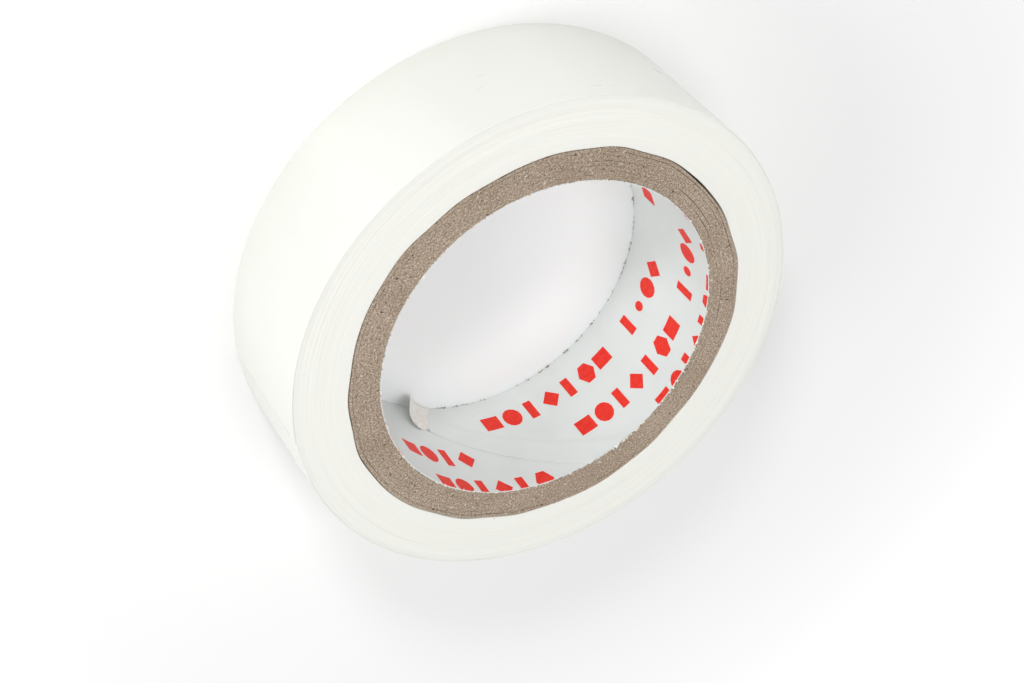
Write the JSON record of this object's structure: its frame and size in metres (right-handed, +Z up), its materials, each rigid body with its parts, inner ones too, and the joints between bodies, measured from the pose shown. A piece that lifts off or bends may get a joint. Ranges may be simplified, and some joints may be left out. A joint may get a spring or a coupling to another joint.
{
  "type": "electrical tape roll",
  "caption": "Roll of white PVC insulating tape wound on a spiral cardboard core with a printed paper lining, its cut end ready to peel.",
  "frame": {"origin": "centre of the bore in the side face the roll lies on", "axes": "+Z up along the bore's axis through the width; +X and +Y radial; the tape's cut end is at 26 degrees from +X towards -Y, and its loose stretch lies on from there towards -Y"},
  "size_m": [0.0564, 0.0565, 0.0158],
  "materials": {
    "tape_film": "white plasticised PVC film, soft gloss, fine lines on its wound side faces",
    "core_board": "grey-brown recycled board, cut edge",
    "liner_paper": "cool white coated paper with small red printed marks"
  },
  "bodies": {
    "roll": {"core_ply_1": "core_board", "core_ply_2": "core_board", "core_ply_3": "core_board", "core_ply_4": "core_board", "core_ply_5": "core_board", "core_ply_6": "core_board", "core_ply_7": "core_board", "liner_paper": "liner_paper", "liner_loose_corner": "liner_paper", "tape_first_turn": "tape_film", "tape_pack": "tape_film", "tape_last_half_turn": "tape_film", "tape_last_turn_back": "tape_film"},
    "tape_end_1": {"tape_end_1": "tape_film"},
    "tape_end_2": {"tape_end_2": "tape_film"},
    "tape_end_3": {"tape_end_3": "tape_film"},
    "tape_end_4": {"tape_end_4": "tape_film"},
    "tape_end_5": {"tape_end_5": "tape_film"}
  },
  "joints": [
    {"name": "tape_peel", "type": "hinge", "parent": "roll", "child": "tape_end_1", "pos_m": [0.00687, -0.02744, 0.0079], "axis": [0, 0, -1], "range_deg": [0, 75]},
    {"name": "tape_unroll_2", "type": "hinge", "parent": "tape_end_1", "child": "tape_end_2", "pos_m": [0.01153, -0.02584, 0.0079], "axis": [0, 0, -1], "range_deg": [0, 15]},
    {"name": "tape_unroll_3", "type": "hinge", "parent": "tape_end_2", "child": "tape_end_3", "pos_m": [0.01584, -0.02345, 0.0079], "axis": [0, 0, -1], "range_deg": [0, 15]},
    {"name": "tape_unroll_4", "type": "hinge", "parent": "tape_end_3", "child": "tape_end_4", "pos_m": [0.01967, -0.02035, 0.0079], "axis": [0, 0, -1], "range_deg": [0, 15]},
    {"name": "tape_unroll_5", "type": "hinge", "parent": "tape_end_4", "child": "tape_end_5", "pos_m": [0.0229, -0.01663, 0.0079], "axis": [0, 0, -1], "range_deg": [0, 15]}
  ]
}
